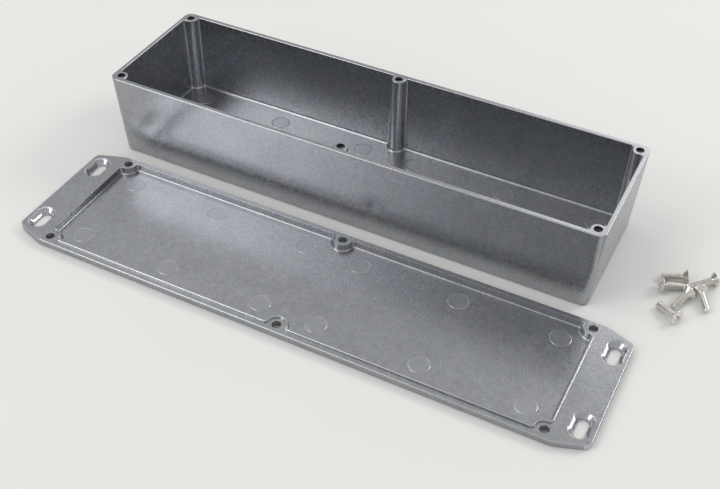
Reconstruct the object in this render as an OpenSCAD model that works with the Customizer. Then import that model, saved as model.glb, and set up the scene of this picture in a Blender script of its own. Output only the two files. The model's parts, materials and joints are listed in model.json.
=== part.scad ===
// Die cast aluminium box with a flanged lid.
// The open box stands on its base. The lid lies beside it with its inner side up,
// and the six countersunk lid screws lie next to the box.
// Millimetres. Origin: centre of the box's base, X along the box, Y across it, Z up.

/* [Box body] */
// Length over the rim
box_l = 250; // [180:1:320]
// Width over the rim
box_w = 69.5; // [56:0.5:100]
// Height without the lid
box_h = 43.5; // [28:0.5:80]
// Thickness of the long walls at the rim
side_wall = 2.4; // [1.8:0.1:3.2]
// Thickness of the end walls at the rim
end_wall = 2; // [1.6:0.1:3.2]
// Thickness of the floor
floor_t = 2.2; // [1.6:0.1:4]
// Draft of the outer walls, in degrees
outer_draft = 2.6; // [0.5:0.1:4]
// Draft of the inner walls, in degrees
inner_draft = 2; // [0.5:0.1:3]
// Radius of the upright corners
corner_r = 4; // [3:0.5:8]
// Radius of the edge round the base
base_edge_r = 1.2; // [0.5:0.1:2]
// Radius where the inner walls meet the floor
floor_fillet = 1.4; // [0.8:0.1:2]
// Small chamfer that breaks the sharp edges of both castings
edge_break = 0.3; // [0.1:0.05:0.5]

/* [Screw pillars] */
// Distance of the screw holes from the outer edge of the rim
hole_inset = 4.4; // [4:0.1:5.5]
// Radius of a pillar at the rim
pillar_r = 3.3; // [2.8:0.1:4.5]
// Draft of the pillars, in degrees
pillar_draft = 1.1; // [0.5:0.1:2]
// Radius where a pillar meets the walls
pillar_fillet = 1.2; // [0.8:0.1:2]
// Depth of the threaded holes
thread_depth = 14; // [8:0.5:22]
// How much narrower than the screw the threaded hole is cored
thread_core = 0.5; // [0.3:0.05:0.8]
// How much wider than the screw the plain mouth of the hole is
mouth_play = 0.4; // [0.2:0.05:0.8]
// Depth of the plain mouth
mouth_depth = 2; // [1:0.5:4]

/* [Lid] */
// Thickness of the lid where the rim seats on it
lid_t = 3.5; // [2.8:0.1:5]
// How far the edge of the lid stands back from the rim's edge
lid_setback = 0.2; // [0:0.05:0.5]
// Length of each mounting flange beyond the box
flange_l = 14.2; // [12.5:0.1:20]
// Angle of the flange's tapered sides, in degrees
flange_taper = 20; // [10:1:25]
// Radius of the flange's outer corners
flange_corner_r = 3.5; // [2:0.5:6]
// Radius where the taper leaves the long edge
flange_shoulder_r = 12; // [6:1:20]
// Radius of the lid's outer edge
lid_edge_r = 0.6; // [0.4:0.1:1.2]
// Height of the locating lip above the seat
lip_h = 1; // [0.6:0.1:2]
// Width of the lip's top
lip_w = 0.9; // [0.6:0.1:1.5]
// Clearance between the lip and the inside of the box
lip_gap = 0.4; // [0.2:0.05:0.6]
// Clearance between the lip and the pillars
pillar_gap = 0.65; // [0.2:0.05:1]
// Radius where the lip's straight runs turn round the screw holes
lip_fillet = 1.8; // [1.6:0.1:2.4]
// Slope of the lip's inner face, in degrees
lip_slope = 9; // [3:1:15]
// Thickness of the lid inside the lip
pocket_floor = 1.3; // [1:0.1:2]
// Radius where the lip meets the pocket's floor
pocket_fillet = 0.6; // [0.3:0.1:1]

/* [Mounting slots] */
// Width of a slot
slot_w = 4.8; // [4.2:0.1:5.5]
// Length of a slot
slot_l = 10; // [7:0.5:14]
// Distance between the two slots of a flange
slot_pitch = 42.6; // [30:0.1:46]
// Distance of the slots from the end of the flange
slot_inset = 6.3; // [5.8:0.1:7]
// Width of the countersink round a slot
slot_sink = 2.6; // [1.5:0.1:2.8]

/* [Lid screws] */
// Diameter of the thread
screw_d = 3.5; // [3:0.1:4]
// Length from the flat of the head to the tip
screw_l = 12; // [9:0.5:16]
// Diameter of the head
head_d = 6.8; // [6:0.1:8]
// Height of the upright rim of the head
head_rim = 0.3; // [0.2:0.05:0.5]
// Height of the dome on the head
head_dome = 0.5; // [0.2:0.05:0.8]
// Length of the chamfer at the tip
tip_chamfer = 0.5; // [0.3:0.1:0.8]
// Play of a screw in the lid, all round
screw_play = 0.35; // [0.2:0.05:0.5]
// Play of a head in its countersink, all round
head_play = 0.3; // [0.1:0.05:0.5]
// Width across the wings of the cross recess
recess_w = 3.8; // [3:0.1:4.4]
// Thickness of a wing of the cross recess
recess_t = 0.9; // [0.6:0.1:1.2]
// Depth of the cross recess below the rim
recess_depth = 1.5; // [1:0.1:1.8]

/* [Layout] */
// Gap between the box and the lid beside it
lid_apart = 7.6; // [3:0.1:20]
// How far the lid lies towards the right of the box
lid_shift = 9.7; // [-20:0.1:20]
// Distance of the heap of screws from the end of the box
heap_apart = 37; // [30:1:60]

/* [Hidden] */
$fn = 48;
arc_steps = 12;
fillet_steps = 6;
edge_steps = 4;
over = 1; // how far a cutter reaches past the face that it cuts

// Both castings share the screw pattern: four corners and the middle of each long side
hole_x = box_l / 2 - hole_inset;
hole_y = box_w / 2 - hole_inset;
hole_d = screw_d + 2 * screw_play;
core_d = screw_d - thread_core;
mouth_d = screw_d + mouth_play;

// Inner faces of the box at the rim
inner_x = box_l / 2 - end_wall;
inner_y = box_w / 2 - side_wall;

// Outer face of the lip, which follows the inside of the box with a gap
lip_x = inner_x - lip_gap;
lip_y = inner_y - lip_gap;
lip_r = pillar_r + pillar_gap;

lid_w = box_w - 2 * lid_setback;
lid_l = box_l + 2 * flange_l;
lid_y = -(box_w + lid_w) / 2 - lid_apart;
slot_x = lid_l / 2 - slot_inset;

// Screws: where the head lies from the middle of the heap, and which way the tip points
SCREWS = [
    [-1.5, -23.5, 148],
    [-13.5, -6.5, 28],
    [-4, 4.5, 197],
    [7.5, 8.2, 223],
    [-1.3, -5.2, 252],
    [2.6, -1.3, 301]
];

// ---- outlines ----

function arc(c, r, a, b, n) = [for (i = [0:n]) c + r * [cos(a + (b - a) * i / n), sin(a + (b - a) * i / n)]];
function tail(points) = [for (i = [1:len(points) - 1]) points[i]];
function backwards(points) = [for (i = [len(points) - 1:-1:0]) points[i]];
function at_height(points, z) = [for (p = points) [p.x, p.y, z]];

// A quarter, from the right end round to the middle, mirrored into a whole outline
function mirrored(quarter) =
    let (
        left = [for (p = backwards(quarter)) if (abs(p.x) > 0.001) [-p.x, p.y]],
        upper = concat(quarter, left)
    )
    concat(upper, [for (p = backwards(upper)) [p.x, -p.y]]);

// Rectangle with round corners, from its half sizes
function round_rect(x, y, r) = mirrored(arc([x - r, y - r], r, 0, 90, arc_steps));

// Inside of the casting: straight walls at half sizes x and y that turn inwards
// round the six screw holes with radius r, joined by fillets of radius f
function pillared(x, y, r, f) =
    let (
        corner = [hole_x, hole_y],
        middle = [0, hole_y],
        reach_x = sqrt(pow(r + f, 2) - pow(x - f - hole_x, 2)),
        reach_y = sqrt(pow(r + f, 2) - pow(y - f - hole_y, 2)),
        turn_x = atan2(reach_x, hole_x + f - x),
        turn_y = atan2(y - f - hole_y, reach_y)
    )
    mirrored(concat(
        arc([x - f, hole_y - reach_x], f, 0, turn_x, fillet_steps),
        tail(arc(corner, r, turn_x + 180, 180 - turn_y, arc_steps)),
        tail(arc([hole_x - reach_y, y - f], f, -turn_y, 90, fillet_steps)),
        arc([reach_y, y - f], f, 90, 180 + turn_y, fillet_steps),
        tail(arc(middle, r, turn_y, -90, arc_steps))
    ));

// The same outline moved inwards by d: the walls close in and the pillars grow
function pillared_in(x, y, r, f, d) = pillared(x - d, y - d, r + d, f);

// Lid outline: a full-width middle and a tapered flange at each end, moved inwards by d
function lid_outline(d) =
    let (
        t = flange_taper,
        reach = box_l / 2 * sin(t) + lid_w / 2 * cos(t),
        corner_x = lid_l / 2 - flange_corner_r,
        corner_y = (reach - flange_corner_r - corner_x * sin(t)) / cos(t),
        shoulder_y = lid_w / 2 - flange_shoulder_r,
        shoulder_x = (reach - flange_shoulder_r - shoulder_y * cos(t)) / sin(t)
    )
    mirrored(concat(
        arc([corner_x, corner_y], flange_corner_r - d, 0, 90 - t, arc_steps),
        arc([shoulder_x, shoulder_y], flange_shoulder_r - d, 90 - t, 90, fillet_steps)
    ));

// ---- solids ----

// Solid skin over a stack of outlines, each mirrored about the X axis and with as many points
module skin(rings) {
    n = len(rings[0]);
    top = (len(rings) - 1) * n;
    sides = [
        for (k = [0:len(rings) - 2], i = [0:n - 1])
            let (a = k * n + i, b = k * n + (i + 1) % n)
            each [[a, a + n, b + n], [a, b + n, b]]
    ];
    caps = [
        for (i = [0:n / 2 - 2])
            let (a = i, b = i + 1, c = n - 2 - i, d = n - 1 - i)
            each [[a, b, c, d], [top + d, top + c, top + b, top + a]]
    ];
    polyhedron([for (ring = rings) each ring], concat(sides, caps));
}

module at_screw_holes() {
    for (x = [-hole_x, 0, hole_x], y = [-hole_y, hole_y])
        translate([x, y, 0])
            children();
}

// ---- box body ----

// Outside of the box: drafted walls with a rounded edge at the base
function shell_ring(z, d) =
    let (in = max(box_h - edge_break - z, 0) * tan(outer_draft) + d)
    at_height(round_rect(box_l / 2 - in, box_w / 2 - in, corner_r - d), z);

module shell() {
    skin(concat(
        [for (i = [edge_steps:-1:0])
            let (a = 90 * i / edge_steps)
            shell_ring(base_edge_r * (1 - sin(a)), base_edge_r * (1 - cos(a)))],
        [shell_ring(box_h - edge_break, 0), shell_ring(box_h, edge_break)]
    ));
}

// Inside of the box at height z, moved inwards by d: walls and pillars with their own drafts
function cavity_ring(z, d) =
    let (
        wall = (box_h - z) * tan(inner_draft) + d,
        pillar = (box_h - z) * tan(pillar_draft) + d
    )
    at_height(pillared(inner_x - wall, inner_y - wall, pillar_r + pillar, pillar_fillet), z);

module cavity() {
    plain_fillet = max(pillar_fillet, inner_x - hole_x + edge_break, inner_y - hole_y + edge_break);
    mouth = pillared_in(inner_x, inner_y, pillar_r, plain_fillet, -edge_break);
    skin(concat(
        [for (i = [edge_steps:-1:0])
            let (a = 90 * i / edge_steps)
            cavity_ring(floor_t + floor_fillet * (1 - sin(a)), floor_fillet * (1 - cos(a)))],
        [
            cavity_ring(box_h - edge_break, 0),
            at_height(pillared_in(inner_x, inner_y, pillar_r, pillar_fillet, -edge_break), box_h),
            at_height(mouth, box_h + over)
        ]
    ));
}

// Threaded hole with a plain mouth, from the rim down
module threaded_hole() {
    translate([0, 0, -thread_depth])
        cylinder(d = core_d, h = thread_depth);
    translate([0, 0, -mouth_depth])
        cylinder(d = mouth_d, h = mouth_depth + over);
}

module box_body() {
    color("silver")
    difference() {
        shell();
        cavity();
        translate([0, 0, box_h])
            at_screw_holes() threaded_hole();
    }
}

// ---- lid ----

module plate() {
    skin(concat(
        [for (i = [0:edge_steps])
            let (a = 90 * i / edge_steps)
            at_height(lid_outline(lid_edge_r * (1 - sin(a))), lid_edge_r * (1 - cos(a)))],
        [at_height(lid_outline(0), lid_t - edge_break), at_height(lid_outline(edge_break), lid_t)]
    ));
}

// Lip that drops into the box and turns round the pillars
module lip() {
    top = lid_t + lip_h;
    skin([
        at_height(pillared(lip_x, lip_y, lip_r, lip_fillet), lid_t / 2),
        at_height(pillared(lip_x, lip_y, lip_r, lip_fillet), top - edge_break),
        at_height(pillared_in(lip_x, lip_y, lip_r, lip_fillet, edge_break), top)
    ]);
}

// Pocket inside the lip, with a sloping side and a small fillet at its floor
function pocket_ring(z, d) =
    let (in = lip_w + (lid_t + lip_h - z) * tan(lip_slope) + d, turn = max(lip_fillet - lip_w, 0.3))
    at_height(pillared_in(lip_x, lip_y, lip_r, turn, in), z);

module pocket() {
    top = lid_t + lip_h;
    skin(concat(
        [for (i = [edge_steps:-1:0])
            let (a = 90 * i / edge_steps)
            pocket_ring(pocket_floor + pocket_fillet * (1 - sin(a)), pocket_fillet * (1 - cos(a)))],
        [pocket_ring(top, 0), pocket_ring(top + over, 0)]
    ));
}

// Clearance hole with a countersink on the lid's outer face, which is below
module countersunk_hole() {
    sink = (head_d - hole_d) / 2 + head_play;
    translate([0, 0, -over])
        cylinder(d = hole_d, h = lid_t + 2 * over);
    translate([0, 0, -over])
        cylinder(d1 = hole_d + 2 * (sink + over), d2 = hole_d, h = sink + over);
}

// Slot with a countersink on the side of the lip, for fixing the lid to a panel
module mounting_slot() {
    run = slot_l - slot_w;
    z = lid_t - slot_sink;
    w = slot_w / 2;
    translate([-w, -run / 2, -over])
        cube([slot_w, run, lid_t + over]);
    translate([0, run / 2, 0])
        rotate([90, 0, 0])
            linear_extrude(run)
                polygon([[-w, z], [w, z], [w + slot_sink + over, lid_t + over], [-w - slot_sink - over, lid_t + over]]);
    for (y = [-run / 2, run / 2])
        translate([0, y, 0]) {
            translate([0, 0, -over])
                cylinder(d = slot_w, h = lid_t + over);
            translate([0, 0, z])
                cylinder(r1 = w, r2 = w + slot_sink + over, h = slot_sink + over);
        }
}

module flanged_lid() {
    color("silver")
    translate([lid_shift, lid_y, 0])
    difference() {
        union() {
            plate();
            lip();
        }
        pocket();
        at_screw_holes() countersunk_hole();
        for (x = [-slot_x, slot_x], y = [-slot_pitch / 2, slot_pitch / 2])
            translate([x, y, 0])
                mounting_slot();
    }
}

// ---- screws ----

// Countersunk screw with its head's rim at z = 0 and its tip down
module screw() {
    r = screw_d / 2;
    head_r = head_d / 2;
    dome_r = (pow(head_r, 2) + pow(head_dome, 2)) / (2 * head_dome);
    cone_end = -head_rim - (head_r - r);
    difference() {
        union() {
            rotate_extrude()
                polygon([
                    [0, 0], [head_r, 0], [head_r, -head_rim], [r, cone_end],
                    [r, tip_chamfer - screw_l], [r - tip_chamfer, -screw_l], [0, -screw_l]
                ]);
            intersection() {
                translate([0, 0, head_dome - dome_r])
                    sphere(dome_r);
                translate([0, 0, -head_rim / 2])
                    cylinder(r = head_r, h = head_dome + head_rim);
            }
        }
        intersection() {
            union()
                for (a = [0, 90])
                    rotate(a)
                        translate([-recess_w / 2, -recess_t / 2, -recess_depth])
                            cube([recess_w, recess_t, recess_depth + over]);
            translate([0, 0, -recess_depth])
                cylinder(d1 = recess_w / 3, d2 = recess_w, h = recess_depth + head_dome);
        }
    }
}

// A screw on its side: it rests on the edge of the tip and on the rim of the head
module lying_screw(place) {
    head_r = head_d / 2;
    fall = (head_r - screw_d / 2) / (screw_l - tip_chamfer - head_rim);
    tilt = atan(fall);
    translate([box_l / 2 + heap_apart + place.x, place.y, (head_r + fall * head_rim) * cos(tilt)])
        rotate([0, 0, place.z])
            rotate([0, tilt - 90, 0])
                screw();
}

module lid_screw(i) {
    color("gainsboro")
        lying_screw(SCREWS[i - 1]);
}

box_body();
flanged_lid();
lid_screw(1);  // lid_screw_1
lid_screw(2);  // lid_screw_2
lid_screw(3);  // lid_screw_3
lid_screw(4);  // lid_screw_4
lid_screw(5);  // lid_screw_5
lid_screw(6);  // lid_screw_6
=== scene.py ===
"""Looks of a die cast aluminium box with a flanged lid beside it and six loose lid screws.

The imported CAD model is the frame. The two castings are dressed as softened copies of
their CAD nodes, with the witness marks of the ejector pins on their floors, and the
screws are modelled anew with a rolled thread and a cross recess.
"""

import json
import logging
import math
from dataclasses import dataclass, field
from enum import Enum
from itertools import product
from typing import Any, Iterable, Sequence, Union

import bmesh
import bpy
from mathutils import Matrix, Vector


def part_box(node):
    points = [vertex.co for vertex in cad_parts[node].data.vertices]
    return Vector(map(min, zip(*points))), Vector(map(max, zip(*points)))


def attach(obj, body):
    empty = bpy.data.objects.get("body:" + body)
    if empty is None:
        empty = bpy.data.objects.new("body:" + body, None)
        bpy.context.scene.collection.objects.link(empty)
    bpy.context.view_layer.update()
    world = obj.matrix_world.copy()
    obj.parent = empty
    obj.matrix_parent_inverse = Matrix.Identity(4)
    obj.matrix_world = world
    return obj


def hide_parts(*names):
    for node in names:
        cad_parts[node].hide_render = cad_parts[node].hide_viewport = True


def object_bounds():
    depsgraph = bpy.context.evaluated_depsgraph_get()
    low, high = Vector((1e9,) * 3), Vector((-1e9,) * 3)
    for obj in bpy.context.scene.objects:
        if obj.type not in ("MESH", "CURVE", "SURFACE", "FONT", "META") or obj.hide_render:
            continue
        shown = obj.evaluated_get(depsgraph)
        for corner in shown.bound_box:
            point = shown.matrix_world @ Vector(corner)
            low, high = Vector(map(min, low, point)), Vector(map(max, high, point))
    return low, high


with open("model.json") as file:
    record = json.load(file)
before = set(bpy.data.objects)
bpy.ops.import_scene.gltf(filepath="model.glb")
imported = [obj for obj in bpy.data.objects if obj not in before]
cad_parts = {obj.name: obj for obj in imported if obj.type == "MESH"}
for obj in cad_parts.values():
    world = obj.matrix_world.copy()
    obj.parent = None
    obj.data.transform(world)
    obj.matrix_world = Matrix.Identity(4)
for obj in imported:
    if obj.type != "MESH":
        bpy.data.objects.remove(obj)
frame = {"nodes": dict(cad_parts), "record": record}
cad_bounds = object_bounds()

log = logging.getLogger("cast_box")

MM = 0.001
BODY = "root"
Colour = tuple[float, float, float]
Value = Union["Wire", float, Sequence[float]]
Profile = Sequence[tuple[float, float]]
Lamp = tuple[str, tuple[float, float, float], float, float, Colour]


class Slot(str, Enum):
    """Material slots of the record; the body's slot decides which casting gets tapped rim holes."""

    BODY = "cast_body"
    LID = "cast_lid"
    SCREWS = "screws"


class Mark(str, Enum):
    """Names of the face attributes that the finishes read."""

    # burnish from tumbling, lightened further as a painted edge highlight
    BURNISH_AND_HIGHLIGHT = "burnish_and_highlight"
    PIN = "pin_land"
    CUT = "cut_face"
    # painted shade: darkens the walls of holes, the threads and the pin grooves
    PAINTED_SHADE = "painted_hollow_shade"


# ---- shader work ----


class Wire:
    """An output of a shader node, or a plain number, that takes part in arithmetic."""

    def __init__(self, bench: "PaintBench", source: Any) -> None:
        """Args:
            bench: The bench whose node tree takes the new nodes.
            source: A node's output socket.
        """
        self.bench = bench
        self.source = source

    def _math(self, operation: str, *values: Value) -> "Wire":
        """Adds a Math node.

        Args:
            operation: Name of the operation, such as MULTIPLY.
            values: The node's inputs, in order.

        Returns:
            The node's output.
        """
        node = self.bench.node("ShaderNodeMath", {"operation": operation}, dict(enumerate(values)))
        return Wire(self.bench, node.outputs[0])

    def __add__(self, other: Value) -> "Wire":
        """This value plus another."""
        return self._math("ADD", self, other)

    def __sub__(self, other: Value) -> "Wire":
        """This value less another."""
        return self._math("SUBTRACT", self, other)

    def __rsub__(self, other: Value) -> "Wire":
        """A number less this value."""
        return self._math("SUBTRACT", other, self)

    def __mul__(self, other: Value) -> "Wire":
        """This value times another."""
        return self._math("MULTIPLY", self, other)

    __radd__ = __add__
    __rmul__ = __mul__

    def at_least(self, other: Value) -> "Wire":
        """The larger of this value and another."""
        return self._math("MAXIMUM", self, other)

    def ramp(self, low: float, high: float) -> "Wire":
        """A smooth step from 0 at low to 1 at high.

        Args:
            low: Where the step starts.
            high: Where the step ends.

        Returns:
            The step, from 0 to 1.
        """
        node = self.bench.node(
            "ShaderNodeMapRange",
            {"interpolation_type": "SMOOTHSTEP"},
            {"Value": self, "From Min": low, "From Max": high},
        )
        return Wire(self.bench, node.outputs[0])


class PaintBench:
    """A material's node tree, with a shader at its end."""

    def __init__(self, name: str) -> None:
        """Args:
            name: Name of the new material.
        """
        self.material = bpy.data.materials.new(name)
        self.material.use_nodes = True
        self.tree = self.material.node_tree
        self.tree.nodes.clear()

    def node(
        self, kind: str, settings: dict[str, Any], sockets: dict[Union[str, int], Value]
    ) -> bpy.types.Node:
        """Makes any node.

        Args:
            kind: Blender's type name of the node.
            settings: Its own settings, set before its sockets.
            sockets: A value or a link for each input, by name or number.

        Returns:
            The new node.
        """
        made = self.tree.nodes.new(kind)
        for key, value in settings.items():
            setattr(made, key, value)
        for key, value in sockets.items():
            if isinstance(value, Wire):
                self.tree.links.new(value.source, made.inputs[key])
            else:
                made.inputs[key].default_value = value
        return made

    def place(self) -> Wire:
        """The point on the piece, in the row frame, in metres."""
        return Wire(self, self.node("ShaderNodeTexCoord", {}, {}).outputs["Object"])

    def stretched(self, point: Wire, scale: Sequence[float], shift: Sequence[float] = (0, 0, 0)) -> Wire:
        """A point in a pattern's own space.

        Args:
            point: The point on the piece.
            scale: How far the pattern is drawn out along each axis.
            shift: Where the pattern starts.

        Returns:
            The scaled and shifted point.
        """
        node = self.node("ShaderNodeMapping", {}, {"Vector": point, "Scale": scale, "Location": shift})
        return Wire(self, node.outputs[0])

    def noise(
        self, point: Wire, size: float, detail: float = 2.0, rough: float = 0.5, bend: float = 0.0
    ) -> Wire:
        """Cloudy noise.

        Args:
            point: Where it is read.
            size: Width of its blotches, in metres.
            detail: Number of finer layers.
            rough: Strength of the finer layers.
            bend: How much the pattern is warped.

        Returns:
            The noise, about 0.5 in the middle.
        """
        node = self.node(
            "ShaderNodeTexNoise",
            {"noise_dimensions": "3D"},
            {
                "Vector": point,
                "Scale": 1 / size,
                "Detail": detail,
                "Roughness": rough,
                "Distortion": bend,
            },
        )
        return Wire(self, node.outputs[0])

    def cells(self, point: Wire, size: float) -> Wire:
        """Distance to the middle of the nearest cell of a pattern.

        Args:
            point: Where it is read.
            size: Width of a cell, in metres.

        Returns:
            The distance, in cells.
        """
        node = self.node("ShaderNodeTexVoronoi", {"feature": "F1"}, {"Vector": point, "Scale": 1 / size})
        return Wire(self, node.outputs["Distance"])

    def mark(self, name: Mark) -> Wire:
        """A face attribute of the piece."""
        node = self.node("ShaderNodeAttribute", {"attribute_name": name.value}, {})
        return Wire(self, node.outputs["Fac"])

    def blend(self, share: Value, first: Value, second: Value, how: str = "MIX") -> Wire:
        """Mixes two colours.

        Args:
            share: How much of the second colour shows.
            first: A colour.
            second: The colour over it.
            how: Blend type of the node.

        Returns:
            The mixed colour.
        """
        colours = [(*c, 1.0) if not isinstance(c, Wire) and len(c) == 3 else c for c in (first, second)]
        node = self.node(
            "ShaderNodeMix",
            {"data_type": "RGBA", "blend_type": how},
            {0: share, 6: colours[0], 7: colours[1]},
        )
        return Wire(self, node.outputs[2])

    def bump(self, height: Wire, depth: float, strength: float = 1.0) -> Wire:
        """A normal that follows a height.

        Args:
            height: The height, from 0 to 1.
            depth: Real height of 1, in metres.
            strength: Share of the effect.

        Returns:
            The bumped normal.
        """
        sockets = {"Height": height, "Distance": depth, "Strength": strength}
        node = self.node("ShaderNodeBump", {}, sockets)
        return Wire(self, node.outputs[0])

    def surface(self, **sockets: Value) -> bpy.types.Material:
        """Ends the tree in a Principled shader.

        Args:
            sockets: The shader's inputs, with _ for each space.

        Returns:
            The finished material.
        """
        named = {key.replace("_", " "): value for key, value in sockets.items()}
        shader = self.node("ShaderNodeBsdfPrincipled", {}, named)
        self.node("ShaderNodeOutputMaterial", {}, {"Surface": Wire(self, shader.outputs[0])})
        return self.material


# ---- finishes ----


@dataclass(frozen=True)
class TumbledCast:
    """Bare die cast aluminium, tumbled satin: fine mottled grain, and edges lightened as burnish and as
    painted highlight.
    """

    name: str
    dark: Colour = (0.330, 0.336, 0.356)
    light: Colour = (0.445, 0.453, 0.476)
    cool: Colour = (0.975, 0.995, 1.02)
    warm: Colour = (1.02, 1.00, 0.975)
    # lighter colour of nicks, cut faces and burnished edges; on the edges it is also a painted highlight
    worn_and_highlight: Colour = (0.66, 0.67, 0.69)
    # colour of the painted shade in holes, threads and grooves
    hollow_shade_colour: Colour = (0.16, 0.16, 0.17)
    grain: float = 0.55 * MM
    mottle: float = 2.6 * MM
    cloud: float = 14.0 * MM
    roughness: float = 0.27
    relief: float = 0.020 * MM

    def material(self) -> bpy.types.Material:
        """Builds the material.

        Returns:
            The cast metal.
        """
        bench = PaintBench(self.name)
        point = bench.place()
        grain = bench.noise(point, self.grain, 2.0, 0.6)
        mottle = bench.noise(point, self.mottle, 2.0, 0.55)
        cloud = bench.noise(point, self.cloud, 2.0, 0.5, 0.3)
        apart = bench.stretched(point, (1.0, 1.0, 1.0), (0.3, 0.1, 0.2))
        tint = bench.noise(apart, 5.0 * MM, 3.0, 0.6)
        crowd = bench.noise(point, 22 * MM, 1.0).ramp(0.55, 0.66)
        nicks = bench.cells(point, 1.7 * MM).ramp(0.17, 0.09) * crowd
        burnish_and_highlight, land = bench.mark(Mark.BURNISH_AND_HIGHLIGHT), bench.mark(Mark.PIN)
        cut, shade_in_hollows = bench.mark(Mark.CUT), bench.mark(Mark.PAINTED_SHADE)
        tone = grain.ramp(0.28, 0.72) * 0.46 + mottle.ramp(0.28, 0.72) * 0.34
        tone = tone + cloud.ramp(0.30, 0.70) * 0.20
        colour = bench.blend(tone, self.dark, self.light)
        hue = bench.blend(tint.ramp(0.36, 0.64), self.cool, self.warm)
        colour = bench.blend(1.0, colour, hue, "MULTIPLY")
        # nicks and cut faces are real bare metal; the edge share is burnish and painted highlight
        bare_and_highlight = (nicks * 0.55).at_least(burnish_and_highlight * 0.6).at_least(cut * 0.25)
        colour = bench.blend(bare_and_highlight, colour, self.worn_and_highlight)
        colour = bench.blend(land * 0.25, colour, self.light)
        # darkens the marked holes, threads and grooves as painted shade
        colour = bench.blend(shade_in_hollows, colour, self.hollow_shade_colour)
        rough = self.roughness + (grain - 0.5) * 0.16 + (mottle - 0.5) * 0.08
        rough = rough + land * 0.05 - burnish_and_highlight * 0.05 - cut * 0.06 + shade_in_hollows * 0.15
        height = grain + mottle * 1.1 + nicks * 0.4
        return bench.surface(
            Base_Color=colour,
            Metallic=1.0,
            Roughness=rough,
            Normal=bench.bump(height, self.relief),
        )


@dataclass(frozen=True)
class NickelPlate:
    """Bright nickel plate on a small rolled screw."""

    name: str = "nickel_plate"
    clean: Colour = (0.80, 0.78, 0.74)
    dull: Colour = (0.60, 0.58, 0.54)
    roughness: float = 0.20

    def material(self) -> bpy.types.Material:
        """Builds the material.

        Returns:
            The plated steel.
        """
        bench = PaintBench(self.name)
        point = bench.place()
        stain = bench.noise(point, 1.8 * MM, 3.0, 0.6)
        grain = bench.noise(point, 0.25 * MM, 2.0, 0.5)
        colour = bench.blend(stain.ramp(0.40, 0.75) * 0.5, self.clean, self.dull)
        rough = self.roughness + (stain - 0.5) * 0.14 + (grain - 0.5) * 0.08
        return bench.surface(
            Base_Color=colour,
            Metallic=1.0,
            Roughness=rough,
            Normal=bench.bump(grain, 0.003 * MM),
        )


@dataclass(frozen=True)
class PaleTable:
    """Matt off-white table top."""

    name: str = "pale_table"
    base: Colour = (0.83, 0.83, 0.805)
    shade: Colour = (0.80, 0.80, 0.775)

    def material(self) -> bpy.types.Material:
        """Builds the material.

        Returns:
            The table's surface.
        """
        bench = PaintBench(self.name)
        point = bench.place()
        cloud = bench.noise(point, 120 * MM, 2.0)
        grain = bench.noise(point, 0.8 * MM, 2.0)
        colour = bench.blend(cloud * 0.6 + grain * 0.4, self.shade, self.base)
        return bench.surface(Base_Color=colour, Roughness=0.6, Normal=bench.bump(grain, 0.01 * MM))


# ---- mesh work ----


def blank() -> bmesh.types.BMesh:
    """A new mesh to work on, with the face marks that the finishes read."""
    bm = bmesh.new()
    for mark in Mark:
        bm.faces.layers.float.new(mark.value)
    return bm


def set_mark(
    bm: bmesh.types.BMesh, faces: Iterable[bmesh.types.BMFace], mark: Mark, value: float
) -> None:
    """Marks faces for the finish.

    Args:
        bm: The mesh.
        faces: The faces to mark.
        mark: Which mark.
        value: Its strength.
    """
    layer = bm.faces.layers.float[mark.value]
    for face in faces:
        face[layer] = value


def revolve(
    bm: bmesh.types.BMesh, profile: Profile, steps: int, centre: Vector
) -> list[bmesh.types.BMFace]:
    """Turns a profile round an upright axis into a closed shell.

    Args:
        bm: The mesh that takes the shell.
        profile: Points (radius, height), from axis to axis.
        steps: Number of steps round.
        centre: Where the axis stands, with the height of profile height 0.

    Returns:
        The shell's faces.
    """
    before = set(bm.faces)
    verts = [bm.verts.new(centre + Vector((r, 0, z))) for r, z in profile]
    edges = [bm.edges.new(pair) for pair in zip(verts, verts[1:])]
    bmesh.ops.spin(
        bm, geom=verts + edges, cent=centre, axis=(0, 0, 1), angle=math.tau, steps=steps, use_merge=True
    )
    faces = [f for f in bm.faces if f not in before]
    around = list({v for f in faces for v in f.verts})
    bmesh.ops.remove_doubles(bm, verts=around, dist=1e-7)
    faces = [f for f in bm.faces if f not in before]
    bmesh.ops.recalc_face_normals(bm, faces=faces)
    return faces


def wind_thread(
    bm: bmesh.types.BMesh, centre: Vector, section: Profile, pitch: float, drop: float, per_turn: int
) -> list[bmesh.types.BMFace]:
    """Winds a right-hand thread round an upright axis, downwards, as a closed ridge.

    Args:
        bm: The mesh that takes the thread.
        centre: Where the axis stands, at the height of the thread's start.
        section: Outline (radius, height) of the ridge.
        pitch: How far it drops in one turn.
        drop: How far it drops in all.
        per_turn: Number of steps in a turn.

    Returns:
        The ridge's faces.
    """
    steps = round(drop / pitch * per_turn)
    before = set(bm.faces)
    verts = [bm.verts.new(centre + Vector((r, 0, z))) for r, z in section]
    face = bm.faces.new(verts)
    bmesh.ops.spin(
        bm,
        geom=[face, *face.edges, *verts],
        cent=centre,
        axis=(0, 0, 1),
        dvec=(0, 0, -drop / steps),
        angle=-math.tau * steps / per_turn,
        steps=steps,
    )
    faces = [f for f in bm.faces if f not in before]
    bmesh.ops.recalc_face_normals(bm, faces=faces)
    return faces


def soften(
    bm: bmesh.types.BMesh, edges: Sequence[bmesh.types.BMEdge], width: float, segments: int
) -> list[bmesh.types.BMFace]:
    """Rounds edges.

    Args:
        bm: The mesh.
        edges: The edges to round.
        width: How far the rounding reaches from the edge.
        segments: Number of strips in it.

    Returns:
        The new faces.
    """
    made = bmesh.ops.bevel(
        bm,
        geom=list(edges),
        offset=width,
        offset_type="OFFSET",
        segments=segments,
        profile=0.5,
        affect="EDGES",
        clamp_overlap=True,
        material=-1,
    )
    return made["faces"]


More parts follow.
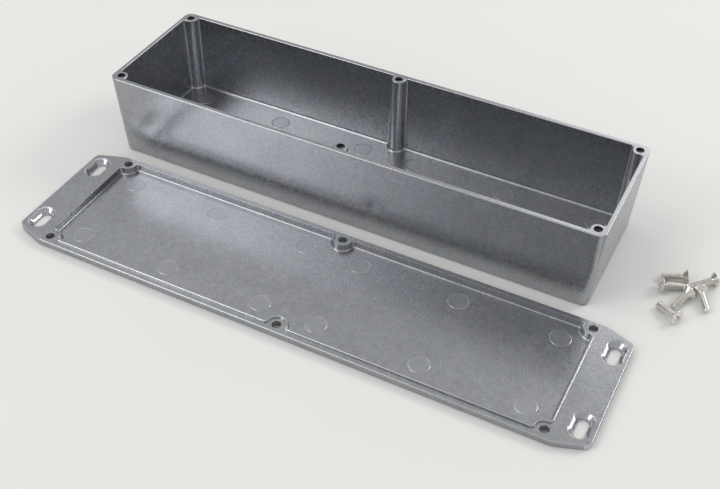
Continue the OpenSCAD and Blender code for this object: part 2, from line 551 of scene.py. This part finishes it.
def publish(
    bm: bmesh.types.BMesh,
    name: str,
    material: bpy.types.Material,
    stands_for: str,
    crease: float,
) -> bpy.types.Object:
    """Turns a finished mesh into a piece of the object.

    Args:
        bm: The mesh, in the row frame. It is freed.
        name: The piece's name.
        material: Its finish.
        stands_for: The CAD node that it replaces.
        crease: Edges sharper than this many degrees stay sharp.

    Returns:
        The new object.
    """
    for face in bm.faces:
        face.smooth = True
    mesh = bpy.data.meshes.new(name)
    bm.to_mesh(mesh)
    bm.free()
    if "custom_normal" in mesh.attributes:
        mesh.attributes.remove(mesh.attributes["custom_normal"])
    mesh.set_sharp_from_angle(angle=math.radians(crease))
    mesh.materials.clear()
    mesh.materials.append(material)
    piece = bpy.data.objects.new(name, mesh)
    bpy.context.scene.collection.objects.link(piece)
    weighted = piece.modifiers.new("flat_faces_stay_flat", "WEIGHTED_NORMAL")
    weighted.keep_sharp = True
    weighted.weight = 100
    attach(piece, BODY)
    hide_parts(stands_for)
    log.info("%s: %d faces, stands for %s", name, len(mesh.polygons), stands_for)
    return piece


# ---- castings ----


@dataclass
class Casting:
    """A casting: a softened copy of its CAD node with the marks of the ejector pins.

    Attributes:
        node: The CAD node.
        name: The piece's name.
        slot: The record's material slot.
        finish: Its finish.
        edge_round: How far hard edges are rounded.
        pin_r: Radius of an ejector pin.
        pin_x: Distances of the pins from the middle, along the casting.
        pin_y: Distance of the pins from the middle, across it.
        pin_groove: Whether a groove runs round inside the ring of each mark, darkened with painted
            shade.
        mouth_depth: Depth of the plain mouth above a thread.
        thread_drop: How deep a thread runs below the mouth.
        thread_pitch: Pitch of the threads.
        thread_root: Radius at which a thread meets the hole's wall.
        thread_crest: Radius of a thread's crest.
        hard_angle: Outer edges sharper than this many degrees are rounded.
        narrow: Faces with less area for their perimeter than this are lightened, as burnish and as
            painted highlight.
        crease: Edges sharper than this many degrees stay sharp.
    """

    node: str
    name: str
    slot: Slot
    finish: TumbledCast
    edge_round: float = 0.10 * MM
    pin_r: float = 4.7 * MM
    pin_x: tuple[float, ...] = (14.0 * MM, 62.5 * MM, 109.5 * MM)
    pin_y: float = 20.7 * MM
    pin_groove: bool = False
    mouth_depth: float = 2.0 * MM
    thread_drop: float = 10.8 * MM
    thread_pitch: float = 0.6 * MM
    thread_root: float = 1.56 * MM
    thread_crest: float = 1.32 * MM
    hard_angle: float = 62.0
    narrow: float = 0.24 * MM
    crease: float = 50.0

    def merged(self) -> bmesh.types.BMesh:
        """Copies the CAD node's mesh and joins its loose triangles into faces.

        Returns:
            One closed mesh.
        """
        bm = blank()
        bm.from_mesh(frame["nodes"][self.node].data)
        bmesh.ops.remove_doubles(bm, verts=bm.verts, dist=2e-6)
        bmesh.ops.dissolve_limit(
            bm,
            angle_limit=math.radians(0.2),
            use_dissolve_boundaries=False,
            verts=bm.verts,
            edges=bm.edges,
        )
        return bm

    def break_edges(self, bm: bmesh.types.BMesh) -> None:
        """Rounds the hard outer edges and lightens them and the narrow faces, as burnish from tumbling
        and as painted highlight.

        Args:
            bm: The merged mesh.
        """
        hard_at = math.radians(self.hard_angle)
        hard = [e for e in bm.edges if e.is_manifold and e.calc_face_angle_signed() > hard_at]
        # the rounded edges are lightened as burnish and as painted highlight
        set_mark(bm, soften(bm, hard, self.edge_round, 2), Mark.BURNISH_AND_HIGHLIGHT, 1.0)
        narrow = [
            f
            for f in bm.faces
            if f.calc_area() / max(f.calc_perimeter(), 1e-9) < self.narrow
            and any(e.calc_face_angle_signed(0.0) > math.radians(35) for e in f.edges)
        ]
        set_mark(bm, narrow, Mark.BURNISH_AND_HIGHLIGHT, 1.0)

    def floor_height(self, x: float, y: float) -> float:
        """Height of the casting's floor below a point.

        Args:
            x: Place along X.
            y: Place along Y.

        Returns:
            The height, in the row frame.
        """
        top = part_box(self.node)[1].z + 10 * MM
        hit, point, _, _ = frame["nodes"][self.node].ray_cast(Vector((x, y, top)), Vector((0, 0, -1)))
        if not hit:
            raise RuntimeError(f"{self.node} has no floor below {x:.4f}, {y:.4f}")
        return point.z

    def stamp_pins(self, bm: bmesh.types.BMesh) -> None:
        """Adds the round witness marks that the ejector pins leave on the floor.

        Args:
            bm: The mesh that takes them.
        """
        low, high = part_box(self.node)
        middle = (low + high) / 2
        r, land = self.pin_r, 0.035 * MM
        dip = 0.006 * MM if self.pin_groove else land
        ring = 0.075 * MM
        profile = [
            (0, land),
            (r - 0.62 * MM, land),
            (r - 0.50 * MM, dip),
            (r - 0.24 * MM, dip),
            (r - 0.14 * MM, ring),
            (r + 0.06 * MM, ring),
            (r + 0.18 * MM, -land),
            (0, -land),
        ]
        for x, side, y in product(self.pin_x, (-1, 1), (-self.pin_y, self.pin_y)):
            spot = Vector((middle.x + side * x, middle.y + y, 0))
            spot.z = self.floor_height(spot.x, spot.y)
            for face in revolve(bm, profile, 64, spot):
                reach = (face.calc_center_median() - spot).to_2d().length
                # the ring's ridge is lightened as a painted highlight outline
                if reach > r - 0.17 * MM:
                    set_mark(bm, [face], Mark.BURNISH_AND_HIGHLIGHT, 0.8)
                # the groove's faces get painted shade
                elif self.pin_groove and reach > r - 0.60 * MM:
                    set_mark(bm, [face], Mark.PAINTED_SHADE, 0.55)
                else:
                    set_mark(bm, [face], Mark.PIN, 1.0)

    def holes(self, key: str) -> list[Vector]:
        """Places of the screw holes in the record's bolt patterns.

        Args:
            key: First word of the patterns' names.

        Returns:
            A point on each hole's axis.
        """
        spots = []
        for mount in frame["record"]["mounts"]:
            if mount["kind"] == "bolt_pattern" and mount["name"].startswith(key):
                dims = mount["dims"]
                across = dims.get("spacing_x_mm", 0.0) * MM / 2
                along = dims.get("spacing_y_mm", 0.0) * MM / 2
                for x in sorted({-across, across}):
                    spots += [Vector(mount["pos_m"]) + Vector((x, y, 0)) for y in (-along, along)]
        return spots

    @staticmethod
    def around(
        bm: bmesh.types.BMesh, spot: Vector, reach: float, below: float
    ) -> list[bmesh.types.BMFace]:
        """Finds the faces round a hole's axis.

        Args:
            bm: The mesh.
            spot: A point on the axis.
            reach: How far from the axis a face's middle may be.
            below: The height that the face's middle stays under.

        Returns:
            The faces.
        """
        middles = ((f, f.calc_center_median()) for f in bm.faces)
        return [f for f, c in middles if (c - spot).to_2d().length < reach and c.z < below]

    def tap_holes(self, bm: bmesh.types.BMesh) -> None:
        """Winds threads into the cored holes of the rim and paints shade onto the holes' walls and
        threads.

        Args:
            bm: The mesh.
        """
        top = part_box(self.node)[1].z
        section = [
            (self.thread_root, -0.27 * MM),
            (self.thread_crest, -0.04 * MM),
            (self.thread_crest, 0.04 * MM),
            (self.thread_root, 0.27 * MM),
        ]
        for spot in self.holes("rim_"):
            wall = self.around(bm, spot, 2.05 * MM, top - 0.2 * MM)
            # painted shade on the hole's wall
            set_mark(bm, wall, Mark.PAINTED_SHADE, 0.6)
            start = Vector((spot.x, spot.y, top - self.mouth_depth - 0.40 * MM))
            ridge = wind_thread(bm, start, section, self.thread_pitch, self.thread_drop, 20)
            # painted shade on the thread
            set_mark(bm, ridge, Mark.PAINTED_SHADE, 0.5)

    def mark_cuts(self, bm: bmesh.types.BMesh) -> None:
        """Marks the machined flanks of the mounting slots, and paints shade onto the walls of the lid's
        holes.

        Args:
            bm: The mesh.
        """
        openings = frame["record"]["physics"]["openings"]
        slots = [o["box_m"] for o in openings if o["name"].endswith("_slot")]
        reach = Vector((3.4 * MM, 4.2 * MM))
        level = 0.95
        for face in bm.faces:
            if abs(face.normal.z) > level:
                continue
            c = face.calc_center_median()
            for low, high in slots:
                if all(low[k] - reach[k] < c[k] < high[k] + reach[k] for k in range(2)):
                    set_mark(bm, [face], Mark.CUT, 1.0)
        for spot in self.holes("lid_"):
            near = self.around(bm, spot, 3.7 * MM, spot.z + 0.1 * MM)
            # painted shade on the walls of the lid's holes
            set_mark(bm, [f for f in near if abs(f.normal.z) < level], Mark.PAINTED_SHADE, 0.5)

    def build(self) -> bpy.types.Object:
        """Builds the casting.

        Returns:
            The finished piece.
        """
        bm = self.merged()
        self.break_edges(bm)
        self.mark_cuts(bm)
        self.stamp_pins(bm)
        if self.slot is Slot.BODY:
            self.tap_holes(bm)
        material = self.finish.material()
        return publish(bm, self.name, material, self.node, self.crease)


# ---- screws ----


@dataclass
class LidScrew:
    """A countersunk machine screw with a raised head, a cross recess and a rolled thread.

    Its own frame has the head's rim at height 0 and the tip below.

    Attributes:
        node: The CAD node.
        heading: Direction from head to tip, in degrees from +X.
        roll: Turn of the cross recess about the screw's axis, in degrees.
        finish: Its material.
        diameter: Thread diameter.
        length: Length with the head.
        head_d: Diameter of the head.
        head_rim: Height of the head's upright rim.
        head_dome: Height of the head's raised top.
        tip_chamfer: Size of the chamfer at the tip.
        pitch: Pitch of the thread.
        thread_depth: How far the thread stands out from the core.
        recess_w: Width of the cross recess.
        recess_t: Thickness of the cross's arms.
        recess_depth: Depth of the recess on the axis.
        recess_taper: Width of the recess's floor as a share of its mouth.
        steps: Number of steps round the head and the core.
        crease: Edges sharper than this many degrees stay sharp.
    """

    node: str
    heading: float
    roll: float
    finish: bpy.types.Material
    diameter: float = 3.5 * MM
    length: float = 12.0 * MM
    head_d: float = 6.8 * MM
    head_rim: float = 0.3 * MM
    head_dome: float = 0.5 * MM
    tip_chamfer: float = 0.5 * MM
    pitch: float = 0.6 * MM
    thread_depth: float = 0.33 * MM
    recess_w: float = 3.8 * MM
    recess_t: float = 0.9 * MM
    recess_depth: float = 1.5 * MM
    recess_taper: float = 0.52
    steps: int = 48
    crease: float = 38.0

    @property
    def cone_end(self) -> float:
        """Height at which the head's cone meets the shank."""
        return -self.head_rim - (self.head_d - self.diameter) / 2

    def blank_body(self, bm: bmesh.types.BMesh) -> None:
        """Turns the head and the core of the shank as one shell.

        Args:
            bm: The mesh that takes it.
        """
        r, head_r = self.diameter / 2, self.head_d / 2
        core = r - self.thread_depth
        dome_r = (head_r**2 + self.head_dome**2) / (2 * self.head_dome)
        dome = []
        for i in range(7):
            x = head_r * i / 6 * 0.985
            dome.append((x, self.head_dome - dome_r + math.sqrt(dome_r**2 - x**2)))
        rim = 0.06 * MM
        profile = dome + [
            (head_r, -rim),
            (head_r, -self.head_rim + rim),
            (head_r - rim, -self.head_rim - rim),
            (r + 0.10 * MM, self.cone_end + 0.10 * MM),
            (r - 0.02 * MM, self.cone_end - 0.12 * MM),
            (core, self.cone_end - 0.45 * MM),
            (core, -self.length + self.tip_chamfer * 0.6),
            (r - self.tip_chamfer, -self.length + 0.03 * MM),
            (r - self.tip_chamfer - 0.1 * MM, -self.length),
            (0, -self.length),
        ]
        revolve(bm, profile, self.steps, Vector((0, 0, 0)))

    def sink_recess(self, bm: bmesh.types.BMesh) -> None:
        """Cuts the outline of a cross into the head's top and sinks it with tapered walls.

        Args:
            bm: The mesh with the head.
        """
        half_w, half_t = self.recess_w / 2, self.recess_t / 2
        for axis in (Vector((1, 0, 0)), Vector((0, 1, 0))):
            for offset in (-half_w, -half_t, half_t, half_w):
                top = [f for f in bm.faces if f.calc_center_median().z > -0.01 * MM and f.normal.z > 0.5]
                sides = list({e for f in top for e in f.edges})
                corners = list({v for f in top for v in f.verts})
                bmesh.ops.bisect_plane(
                    bm, geom=top + sides + corners, dist=1e-7, plane_co=axis * offset, plane_no=axis
                )

        def inside(point: Vector) -> bool:
            """Whether a point of the head's top lies within the cross."""
            x, y = abs(point.x), abs(point.y)
            return (x < half_w and y < half_t) or (y < half_w and x < half_t)

        upward = ((f, f.calc_center_median()) for f in bm.faces if f.normal.z > 0.5)
        cross = [f for f, middle in upward if middle.z > 0 and inside(middle)]
        made = bmesh.ops.extrude_face_region(bm, geom=cross)
        bmesh.ops.delete(bm, geom=cross, context="FACES")
        floor = [v for v in made["geom"] if isinstance(v, bmesh.types.BMVert)]
        for v in floor:
            reach = math.hypot(v.co.x, v.co.y)
            v.co.z = -self.recess_depth + 0.55 * reach
            v.co.x *= self.recess_taper
            v.co.y *= self.recess_taper

    def roll_thread(self, bm: bmesh.types.BMesh) -> None:
        """Winds a right-hand thread round the core, fading out at both ends.

        Args:
            bm: The mesh that takes it.
        """
        r, core = self.diameter / 2, self.diameter / 2 - self.thread_depth
        top, bottom = self.cone_end - 0.35 * MM, -self.length + 0.12 * MM
        half, crest = self.pitch * 0.46, self.pitch * 0.09
        section = [(core - 0.05 * MM, -half), (r, -crest), (r, crest), (core - 0.05 * MM, half)]
        faces = wind_thread(bm, Vector((0, 0, top)), section, self.pitch, top - bottom, 24)
        tip = -self.length + self.tip_chamfer
        for v in {v for f in faces for v in f.verts}:
            reach = math.hypot(v.co.x, v.co.y)
            room = min(1.0, max(0.0, (top + half - v.co.z) / (0.6 * MM)))
            limit = core - 0.05 * MM + (r - core + 0.05 * MM) * room
            if v.co.z < tip:
                limit = min(limit, r - (tip - v.co.z))
            v.co.z = max(v.co.z, -self.length + 0.02 * MM)
            if reach > limit > 0:
                v.co.x *= limit / reach
                v.co.y *= limit / reach

    def lay_down(self, bm: bmesh.types.BMesh) -> None:
        """Lays the screw on its head's rim and its tip, where the CAD node lies.

        Args:
            bm: The screw's mesh.
        """
        run = self.length - self.tip_chamfer - self.head_rim
        tilt = math.atan((self.head_d - self.diameter) / 2 / run)
        turn = (
            Matrix.Rotation(math.radians(self.heading), 4, "Z")
            @ Matrix.Rotation(tilt - math.pi / 2, 4, "Y")
            @ Matrix.Rotation(math.radians(self.roll), 4, "Z")
        )
        bmesh.ops.transform(bm, matrix=turn, verts=bm.verts)
        low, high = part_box(self.node)
        near, far = ([f(v.co[k] for v in bm.verts) for k in range(3)] for f in (min, max))
        across = [(low[k] + high[k]) / 2 - (near[k] + far[k]) / 2 for k in range(2)]
        shift = Vector((*across, low.z - near[2]))
        bmesh.ops.translate(bm, vec=shift, verts=bm.verts)

    def build(self) -> bpy.types.Object:
        """Builds the screw.

        Returns:
            The finished piece.
        """
        bm = blank()
        self.blank_body(bm)
        self.sink_recess(bm)
        self.roll_thread(bm)
        self.lay_down(bm)
        name = self.node.replace("lid_screw", "threaded_screw")
        return publish(bm, name, self.finish, self.node, self.crease)


# ---- studio ----


@dataclass
class Studio:
    """The plain surroundings: table, soft lights and camera."""

    eye: tuple[float, float, float] = (0.18373, -0.37848, 0.34205)
    azimuth: float = 26.442
    elevation: float = 42.327
    roll: float = 0.965
    lens: float = 54.64
    table_size: float = 6.0
    ambient: Colour = (0.617, 0.62, 0.624)
    lamps: tuple[Lamp, ...] = field(
        default_factory=lambda: (
            ("back_right_softbox", (1.05, 1.26, 1.15), 0.8, 9.2, (1.0, 0.995, 0.98)),
            ("front_left_softbox", (-1.05, -1.26, 1.15), 0.8, 6.4, (1.0, 1.0, 1.0)),
            ("left_softbox", (-0.87, -0.50, 1.73), 0.9, 4.2, (1.0, 1.0, 1.0)),
            ("back_low_softbox", (0.0, 1.97, 0.35), 1.3, 2.2, (1.0, 1.0, 1.0)),
            ("back_softbox", (0.0, 1.64, 1.15), 0.8, 2.0, (1.0, 1.0, 1.0)),
            ("back_left_softbox", (-0.87, 0.50, 1.73), 0.9, 1.4, (1.0, 1.0, 1.0)),
        )
    )

    def aim(self) -> Matrix:
        """Where the camera stands and looks.

        Returns:
            The camera's matrix.
        """
        a, e, t = (math.radians(x) for x in (self.azimuth, self.elevation, self.roll))
        ahead = Vector((-math.sin(a) * math.cos(e), math.cos(a) * math.cos(e), -math.sin(e)))
        right = ahead.cross(Vector((0, 0, 1))).normalized()
        up = right.cross(ahead)
        across = right * math.cos(t) + up * math.sin(t)
        upward = up * math.cos(t) - right * math.sin(t)
        turn = Matrix((across, upward, -ahead)).transposed().to_4x4()
        return Matrix.Translation(self.eye) @ turn

    def camera(self) -> None:
        """Makes the camera."""
        data = bpy.data.cameras.new("camera")
        data.lens, data.sensor_width, data.sensor_fit = self.lens, 36.0, "HORIZONTAL"
        data.clip_start, data.clip_end = 0.01, 50.0
        view = bpy.data.objects.new("camera", data)
        bpy.context.scene.collection.objects.link(view)
        view.matrix_world = self.aim()
        bpy.context.scene.camera = view

    def table(self) -> None:
        """Makes the table top at the height of the object's lowest point."""
        bm = bmesh.new()
        bmesh.ops.create_grid(bm, x_segments=8, y_segments=8, size=self.table_size / 2)
        bmesh.ops.translate(bm, vec=(0, 0, cad_bounds[0].z), verts=bm.verts)
        mesh = bpy.data.meshes.new("table_top")
        bm.to_mesh(mesh)
        bm.free()
        mesh.materials.append(PaleTable().material())
        top = bpy.data.objects.new("table_top", mesh)
        bpy.context.scene.collection.objects.link(top)

    def lights(self) -> None:
        """Makes the soft lamps, each a name, place, size, power and colour, and the room's light."""
        world = bpy.data.worlds.new("room")
        bpy.context.scene.world = world
        world.use_nodes = True
        world.node_tree.nodes["Background"].inputs[0].default_value = (*self.ambient, 1.0)
        aim = Vector((0.0, -0.03, 0.0))
        for name, place, size, power, colour in self.lamps:
            data = bpy.data.lights.new(name, "AREA")
            data.shape, data.size, data.energy, data.color = "DISK", size, power, colour
            lamp = bpy.data.objects.new(name, data)
            bpy.context.scene.collection.objects.link(lamp)
            lamp.location = place
            lamp.rotation_euler = (aim - Vector(place)).to_track_quat("-Z", "Y").to_euler()

    def build(self) -> None:
        """Builds the surroundings."""
        self.table()
        self.lights()
        self.camera()
        bpy.context.scene.view_settings.view_transform = "Standard"
        log.info("studio: %d lamps", len(self.lamps))


def main() -> None:
    """Builds every piece in order."""
    logging.basicConfig(level=logging.INFO, format="%(name)s: %(message)s")
    Studio().build()
    box_finish, lid_finish = TumbledCast("cast_box_satin"), TumbledCast("cast_lid_satin")
    Casting("box_body", "cast_box", Slot.BODY, box_finish, pin_groove=True).build()
    Casting("flanged_lid", "cast_lid", Slot.LID, lid_finish).build()
    plate = NickelPlate().material()
    headings = (148, 28, 197, 223, 252, 301)
    rolls = (20, 65, 10, 40, 75, 30)
    for number, (heading, roll) in enumerate(zip(headings, rolls), 1):
        LidScrew(f"lid_screw_{number}", heading, roll, plate).build()


if __name__ == "__main__":
    main()
